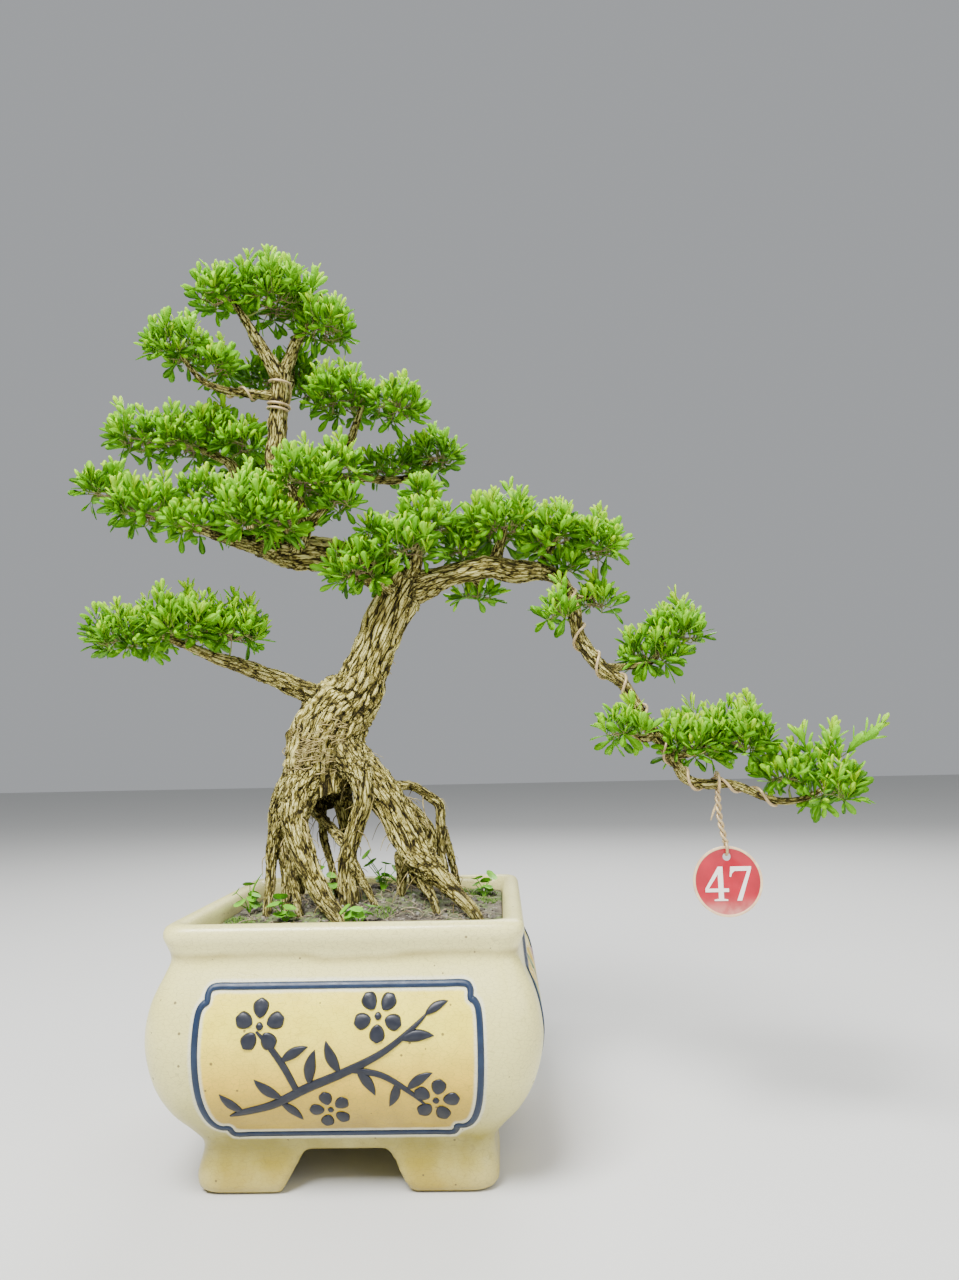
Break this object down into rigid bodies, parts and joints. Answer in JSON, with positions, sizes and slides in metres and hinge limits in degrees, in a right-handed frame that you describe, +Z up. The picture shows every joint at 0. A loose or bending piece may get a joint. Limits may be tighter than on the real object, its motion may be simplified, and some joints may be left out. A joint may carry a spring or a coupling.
{
  "type": "boxwood bonsai",
  "caption": "Boxwood bonsai with exposed roots, a stepped crown of leaf pads and a long cascading branch, in a square glazed pot on feet.",
  "frame": {"origin": "on the surface that the pot stands on, under the centre of the whole object's box; the pot's own centre lies 81.8 mm towards -X", "axes": "+Z up along the tree, +X to the right along the cascading branch, +Y away from the pot's front panel"},
  "size_m": [0.621, 0.268, 0.73],
  "materials": {
    "glaze": "cream crackle glaze over stoneware, semi-gloss",
    "soil": "dry gritty earth with moss, matt",
    "bark": "deeply fissured corky bark, matt",
    "leaf": "bright green leaves, satin",
    "leaf_dark": "older green leaves, satin",
    "weed": "soft green leaves, satin",
    "wire": "anodised copper-brown wire, satin",
    "tag": "red enamel with a worn pale rim, semi-gloss"
  },
  "bodies": {
    "root": {"pot": "glaze", "soil": "soil", "trunk_roots_branches": "bark", "foliage_low_left": "leaf", "foliage_mid_left_low": "leaf", "foliage_mid_left_high": "leaf", "foliage_front_low": "leaf", "foliage_front_high": "leaf", "foliage_upper_left": "leaf", "foliage_top": "leaf", "foliage_upper_back": "leaf_dark", "foliage_upper_right": "leaf", "foliage_right_back": "leaf_dark", "foliage_back": "leaf_dark", "foliage_crown_left": "leaf", "foliage_crown_right": "leaf", "foliage_right": "leaf", "foliage_under_right": "leaf", "foliage_cascade_spray_a": "leaf", "foliage_cascade_spray_b": "leaf", "foliage_cascade_bud": "leaf", "foliage_cascade_left": "leaf", "foliage_cascade_mid": "leaf", "foliage_cascade_tip": "leaf", "weed_left": "weed", "weed_front": "weed", "weed_centre": "weed", "weed_middle": "weed", "weed_back": "weed", "weed_right": "weed", "wire_cascade": "wire", "wire_apex": "wire", "wire_shoulder": "wire", "tag_tie": "wire", "tag_disc": "tag"}
  },
  "joints": []
}
